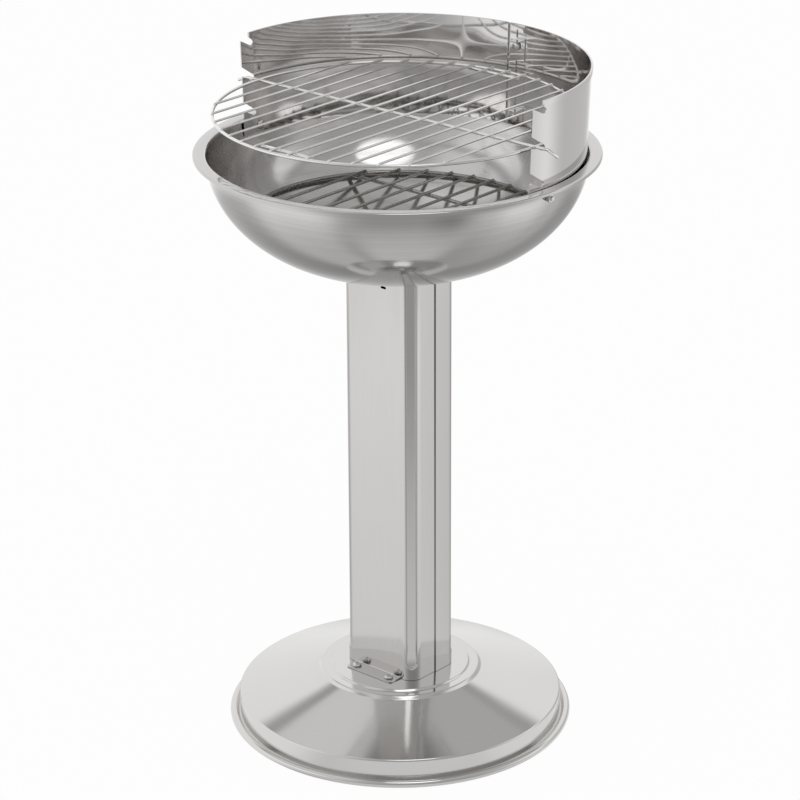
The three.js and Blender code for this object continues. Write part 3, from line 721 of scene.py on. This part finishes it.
# Polished stainless: paler inside, with the finer and fainter rings of a soft wheel.
polished_stainless = stainless(
    "polished_stainless", "#d6d4d3", roughness=0.14, spread=0.04, lines_mm=1.5,
    turned_lines=True, anisotropy=0.5, swell_mm=60, swell_depth=0.25,
)


def bowl_wall(steps):
    """Outside of the bowl's wall from its flat bottom to its neck."""
    points = []
    for i in range(steps + 1):
        turn = math.pi / 2 * i / steps
        out = math.sin(turn) ** bowl_curve_power
        down = max(0.0, math.cos(turn)) ** bowl_curve_power
        points.append((bowl_flat_radius + (bowl_wall_radius - bowl_flat_radius) * out,
                       bowl_bottom + bowl_depth * (1 - down)))
    return points


outline = [(0, bowl_bottom)] + bowl_wall(bowl_curve_steps)
bend_centre = (bowl_wall_radius + rim_bend, bowl_bottom + bowl_depth + bowl_neck)
outline += arc(bend_centre, rim_bend, 180, 90, 8)
edge_centre = (rim_radius - sheet - rim_edge_bend, rim_top - sheet - rim_edge_bend)
outline += arc(edge_centre, rim_edge_bend, 90, 0, 5)
outline += [(rim_radius - sheet, rim_top - rim_edge_height)]
mesh = turned(outline)
face_out(mesh, lambda middle: Vector((0, 0, -1)))
bmesh.ops.solidify(mesh, geom=mesh.faces[:], thickness=sheet)
for face in mesh.faces:
    middle = face.calc_center_median()
    reach = middle.xy.length
    looks_up = face.normal.z > 0.005
    looks_in = face.normal.dot(Vector((middle.x, middle.y, 0))) < 0
    if looks_up and reach < bowl_wall_radius + sheet or looks_in and reach < bowl_wall_radius:
        face.material_index = 1
finished("fire_bowl", mesh, "pedestal", [satin_stainless, polished_stainless], ["bowl"])


# Windscreen: two sheets of mirror stainless bent round the back of the bowl and lapped there.
# The top edge is hemmed outwards, and each open end is nibbled into three slots for the grate.

screen_low, screen_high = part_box("windscreen_right")
screen_foot = screen_low.z
screen_top = screen_high.z
screen_top_radius = screen_high.x - sheet
screen_flare = 3.7 * mm
hem_height = 5.5 * mm
hem_gap = 0.15 * mm
lap_half = 10.0 * mm
lap_gap = 0.3 * mm
joggle_width = 2.0 * mm
joggle_steps = 4
end_reach = 24.0 * mm
top_corner_reach = 10.0 * mm
slot_place_y = -8.0 * mm
slot_radius = 3.0 * mm
slot_floor_rise = 26.4
slot_roof_rise = 33.0
slot_pitch = 36.0 * mm
slot_rise = 5.7 * mm
lowest_slot = bowl_bottom + bowl_depth + slot_rise
slot_levels = [lowest_slot + i * slot_pitch for i in range(3)]
tongue_width = 11.0 * mm
tongue_length = 13.0 * mm
tongue_corner = 1.5 * mm
cut_overrun = 4.0 * mm
screen_inside = 100.0 * mm

# Mirror finished stainless sheet: nearly a mirror, with the slight swell that sheet always has.
mirror_stainless = stainless(
    "mirror_stainless", "#dbd9d8", roughness=0.045, spread=0.015, lines_mm=3.0,
    lines_bump=0.0, tone=0.02, swell_mm=70, swell_depth=0.5,
)


def gathered(parts):
    """One bmesh that holds all the parts."""
    whole = bmesh.new()
    for part in parts:
        data = bpy.data.meshes.new("part")
        part.to_mesh(data)
        part.free()
        whole.from_mesh(data)
        bpy.data.meshes.remove(data)
    return whole


def screen_radius(height):
    """Radius of the sheet's outside at a height."""
    return screen_top_radius - screen_flare * (screen_top - height) / (screen_top - screen_foot)


def screen_outline():
    """Outside of the sheet from its foot to its top, and of the hem folded over and down."""
    fold = sheet + hem_gap
    centre = (screen_top_radius + hem_gap / 2, screen_top - fold)
    outline = [(screen_radius(height), height) for height in (screen_foot, screen_top - fold)]
    outline += arc(centre, hem_gap / 2, 170, 0, 5)
    outline += [(screen_radius(screen_top - hem_height) + hem_gap, screen_top - hem_height)]
    return outline


def slot_cutter(level, start, end):
    """A slanted slot, round at its inner end and open at the sheet's edge."""
    centre = (slot_place_y, level + slot_radius)
    run = end_reach + cut_overrun + slot_place_y
    inner = arc(centre, slot_radius, -90 - slot_floor_rise, 90 - slot_roof_rise, 12)
    floor = (inner[0][0] - run, inner[0][1] + run * math.tan(math.radians(slot_floor_rise)))
    roof = (inner[-1][0] - run, inner[-1][1] + run * math.tan(math.radians(slot_roof_rise)))
    return prism([floor, *inner, roof], start, end)


def end_cutters(start, end):
    """The three slots and the cut corner at the open end of a sheet."""
    slots = [slot_cutter(level, start, end) for level in slot_levels]
    floor = slot_levels[-1] + slot_radius
    far = -end_reach - cut_overrun
    corner = [
        (far, screen_top + cut_overrun),
        (-top_corner_reach, screen_top + cut_overrun),
        (-top_corner_reach, floor),
        (far, floor + (end_reach + cut_overrun - top_corner_reach) / 2),
    ]
    return [*slots, prism(corner, start, end)]


def parted(mesh, place, normal, clear=True):
    """Cuts a skin at a plane, and clears the side that the normal points to where asked."""
    bmesh.ops.bisect_plane(mesh, geom=mesh.verts[:] + mesh.edges[:] + mesh.faces[:], dist=merge_reach,
                           plane_co=place, plane_no=normal, clear_outer=clear)


def screen_skin(start, sweep, lap_end):
    """The outside of a sheet between its edge in the lap and its open end."""
    mesh = turned(screen_outline(), start, sweep)
    parted(mesh, (lap_end, 0, 0), (lap_end, 0, 0))
    parted(mesh, (0, -end_reach, 0), (0, -1, 0))
    face_out(mesh, lambda middle: Vector((middle.x, middle.y, 0)))
    return mesh


# The cutters reach from well inside a sheet to the rim's radius, so they meet one side of it only.
mesh = screen_skin(-20, 120, -lap_half)
bmesh.ops.solidify(mesh, geom=mesh.faces[:], thickness=sheet)
mesh = cut(mesh, *end_cutters(screen_inside, rim_radius))
finished("screen_right", mesh, "pedestal", [mirror_stainless], ["windscreen_right"])

mesh = screen_skin(70, 130, lap_half)
joggle_edge = -lap_half - lap_gap
for i in range(joggle_steps + 1):
    parted(mesh, (joggle_edge - joggle_width * i / joggle_steps, 0, 0), (1, 0, 0), clear=False)
hem = []
for face in mesh.faces:
    middle = face.calc_center_median()
    in_lap = middle.y > 0 and middle.x > joggle_edge
    if in_lap and middle.xy.length > screen_radius(middle.z) + hem_gap / 4:
        hem.append(face)
bmesh.ops.delete(mesh, geom=hem, context="FACES")
for vert in mesh.verts:
    if vert.co.y > 0 and vert.co.x > joggle_edge - joggle_width:
        share = min(1.0, (vert.co.x - joggle_edge + joggle_width) / joggle_width)
        inward = (sheet + lap_gap) * (1 - math.cos(math.pi * share)) / 2
        vert.co.xy *= 1 - inward / vert.co.xy.length
bmesh.ops.solidify(mesh, geom=mesh.faces[:], thickness=sheet)

notches = []
for level in slot_levels:
    notch_top = min(level + tongue_length, screen_top - hem_height)
    notch = [(screen_inside, level), (rim_radius, level), (rim_radius, notch_top), (screen_inside, notch_top)]
    notches.append(prism(notch, lap_half - tongue_width, lap_half + cut_overrun))
parts = [cut(mesh, *end_cutters(-rim_radius, -screen_inside), *notches)]

for level in slot_levels:
    inner = screen_radius(level) - sheet - lap_gap - sheet
    fold_level = level - 2 * sheet
    tongue = line_mesh([(lap_half - tongue_width, inner, fold_level), (lap_half, inner, fold_level)])
    bend = bmesh.ops.spin(tongue, geom=tongue.verts[:] + tongue.edges[:], cent=(0, inner - sheet, fold_level),
                          axis=(1, 0, 0), angle=math.pi / 2, steps=5)["geom_last"]
    plate = bmesh.ops.extrude_edge_only(tongue, edges=only(bmesh.types.BMEdge, bend))["geom"]
    corners = only(bmesh.types.BMVert, plate)
    bmesh.ops.translate(tongue, verts=corners, vec=(0, 2 * sheet - tongue_length, 0))
    bmesh.ops.bevel(tongue, geom=corners, offset=tongue_corner, affect="VERTICES", segments=4, profile=0.5,
                    material=-1)
    face_out(tongue, lambda middle: Vector((0, 0, -1)))
    bmesh.ops.solidify(tongue, geom=tongue.faces[:], thickness=-sheet)
    parts.append(tongue)
mesh = gathered(parts)
finished("screen_left", mesh, "pedestal", [mirror_stainless], ["windscreen_left"])

# All four heads are inside the windscreen.
for screw_name, nut_name, inward in (
    ("windscreen_screw_right", "windscreen_nut_right", Vector((-1, 0, 0))),
    ("windscreen_screw_left", "windscreen_nut_left", Vector((1, 0, 0))),
    ("windscreen_screw_back", "windscreen_nut_back", Vector((0, -1, 0))),
    ("seam_screw", "seam_nut", Vector((0, -1, 0))),
):
    screw(screw_name, inward)
    nut(nut_name, inward)


# Charcoal grate: drawn steel wire, welded flat into one loose piece and plated. It lies against
# the bowl's wall below the rim, and heat has left its plating duller than the cooking grate's.

coal_low, coal_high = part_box("charcoal_grate")
coal_wire = 2.0 * mm
coal_bar = 1.6 * mm
coal_ring_radius = coal_high.x - coal_wire
coal_ring_level = coal_low.z + coal_wire
coal_bar_level = coal_high.z - coal_bar
coal_bar_pitch = 24.0 * mm
coal_bars = 11
coal_row_shares = (-0.5, 0.5)
coal_weld_radius = 2.4 * mm
weld_flat_share = 0.62
wire_end_share = 0.45

# Nickel and chrome plating on drawn wire, dulled by heat: darker, blotchy and half blurred.
dull_plating = stainless(
    "dull_plating", "#a9a6a2", roughness=0.22, spread=0.07, lines_mm=2.0,
    lines_bump=0.1, tone=0.2,
)


def wire(path, radius, sides=12):
    """Round wire along a path in space, with its ends rounded off."""
    mesh = bmesh.new()
    path = [Vector(point) for point in path]
    steps = [(b - a).normalized() for a, b in zip(path, path[1:])]
    place = Matrix.Translation(path[0]) @ steps[0].to_track_quat("Z", "Y").to_matrix().to_4x4()
    bmesh.ops.create_circle(mesh, cap_ends=True, segments=sides, radius=radius, matrix=place)
    start = mesh.faces[:]
    front = start
    for i in range(1, len(path)):
        grown = bmesh.ops.extrude_face_region(mesh, geom=front)["geom"]
        left_behind = [f for f in front if f.is_valid and f not in start]
        bmesh.ops.delete(mesh, geom=left_behind, context="FACES_ONLY")
        verts = only(bmesh.types.BMVert, grown)
        front = only(bmesh.types.BMFace, grown)
        bmesh.ops.translate(mesh, verts=verts, vec=path[i] - path[i - 1])
        if i + 1 < len(path):
            turn = steps[i - 1].rotation_difference(steps[i]).to_matrix()
            bmesh.ops.rotate(mesh, verts=verts, cent=path[i], matrix=turn)
    bmesh.ops.recalc_face_normals(mesh, faces=mesh.faces)
    ends = [e for f in mesh.faces if len(f.verts) == sides for e in f.edges]
    bmesh.ops.bevel(mesh, geom=ends, offset=wire_end_share * radius, affect="EDGES", segments=2,
                    profile=0.5, material=-1)
    return mesh


def wire_ring(radius, level, wire_radius):
    """A closed ring of round wire about the upright axis."""
    mesh = bmesh.new()
    place = Matrix.Translation((radius, 0, level)) @ Matrix.Rotation(math.pi / 2, 4, "X")
    bmesh.ops.create_circle(mesh, cap_ends=False, segments=14, radius=wire_radius, matrix=place)
    bmesh.ops.spin(mesh, geom=mesh.verts[:] + mesh.edges[:], axis=(0, 0, 1), angle=2 * math.pi, steps=180,
                   use_merge=True)
    bmesh.ops.recalc_face_normals(mesh, faces=mesh.faces)
    return mesh


def weld(place, radius):
    """The small flattened bead where two wires were welded across each other."""
    mesh = bmesh.new()
    bmesh.ops.create_icosphere(mesh, subdivisions=2, radius=radius,
                               matrix=Matrix.Translation(place) @ Matrix.Diagonal((1, 1, weld_flat_share, 1)))
    return mesh


def half_chord(radius, place):
    """Half the length of a bar that crosses a ring at a distance from its middle."""
    return math.sqrt(radius ** 2 - place ** 2)


coal_weld_level = coal_bar_level - coal_bar
parts = [wire_ring(coal_ring_radius, coal_ring_level, coal_wire)]
coal_rows = [share * coal_ring_radius for share in coal_row_shares]
for y in coal_rows:
    reach = half_chord(coal_ring_radius, y)
    parts.append(wire([(-reach, y, coal_ring_level), (reach, y, coal_ring_level)], coal_wire))
for i in range(coal_bars):
    x = (i - (coal_bars - 1) / 2) * coal_bar_pitch
    reach = half_chord(coal_ring_radius, x)
    parts.append(wire([(x, -reach, coal_bar_level), (x, reach, coal_bar_level)], coal_bar))
    rows = [y for y in coal_rows if abs(y) < reach] + [-reach, reach]
    parts += [weld((x, y, coal_weld_level), coal_weld_radius) for y in rows]
mesh = gathered(parts)
finished("coal_grate_wires", mesh, "charcoal_grate", [dull_plating], ["charcoal_grate"])


# Cooking grate: drawn steel wire, welded into one loose piece and bright plated. Its middle wire
# runs out past the ring at both sides, lies in the windscreen's slots and is bent down outside.

grate_low, grate_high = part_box("cooking_grate")
ring_wire = 1.6 * mm
bar_wire = 1.2 * mm
bar_sink = 0.7 * mm
grate_ring_radius = 177.0 * mm
grate_setback = 3.5 * mm
grate_bar_pitch = 20.9 * mm
grate_bars = 15
bar_overhang = 1.0 * mm
weld_radius = 1.74 * mm
short_row = grate_ring_radius - 12.0 * mm
seat_gap = 0.3 * mm
seated_level = slot_levels[1] + seat_gap + ring_wire
wire_row = slot_place_y + grate_setback
wire_end_drop = 23.0
wire_bend = 5.0 * mm
wire_clearance = 6.0 * mm

# Nickel and chrome plating on drawn wire: very bright, with the wire's fine drawing marks.
bright_plating = stainless(
    "bright_plating", "#eae9e7", roughness=0.1, spread=0.03, lines_mm=1.6,
    lines_bump=0.05, tone=0.05,
)

bar_level = seated_level + ring_wire + bar_wire - bar_sink
weld_level = seated_level + ring_wire - bar_sink / 2
end_slope = math.radians(wire_end_drop)
wire_tip = (grate_high.x - ring_wire * math.sin(end_slope), grate_low.z + ring_wire * math.cos(end_slope))
wire_corner = screen_radius(seated_level) + wire_clearance
wire_side = rounded([(0, seated_level, 0), (wire_corner, seated_level, wire_bend), (*wire_tip, 0)])[1:]
wire_path = [(-x, wire_row, z) for x, z in reversed(wire_side)] + [(x, wire_row, z) for x, z in wire_side]
parts = [wire_ring(grate_ring_radius, seated_level, ring_wire), wire(wire_path, ring_wire)]
for i in range(grate_bars):
    x = (i - (grate_bars - 1) / 2) * grate_bar_pitch
    chord = half_chord(grate_ring_radius, x)
    reach = chord + bar_overhang
    parts.append(wire([(x, -reach, bar_level), (x, reach, bar_level)], bar_wire, 10))
    parts += [weld((x, y, weld_level), weld_radius) for y in (-chord, wire_row, chord)]
# A short wire under four bars near the front and the back of the ring.
for side in (-1, 1):
    left, right = sorted((side * grate_bar_pitch, -2 * side * grate_bar_pitch))
    row = side * short_row
    ends = [(left - ring_wire, row, seated_level), (right + ring_wire, row, seated_level)]
    parts.append(wire(ends, ring_wire))
    parts += [weld((left + k * grate_bar_pitch, row, weld_level), weld_radius) for k in range(4)]
mesh = gathered(parts)
bmesh.ops.translate(mesh, verts=mesh.verts, vec=(0, -grate_setback, 0))
finished("cooking_grate_wires", mesh, "cooking_grate", [bright_plating], ["cooking_grate"])
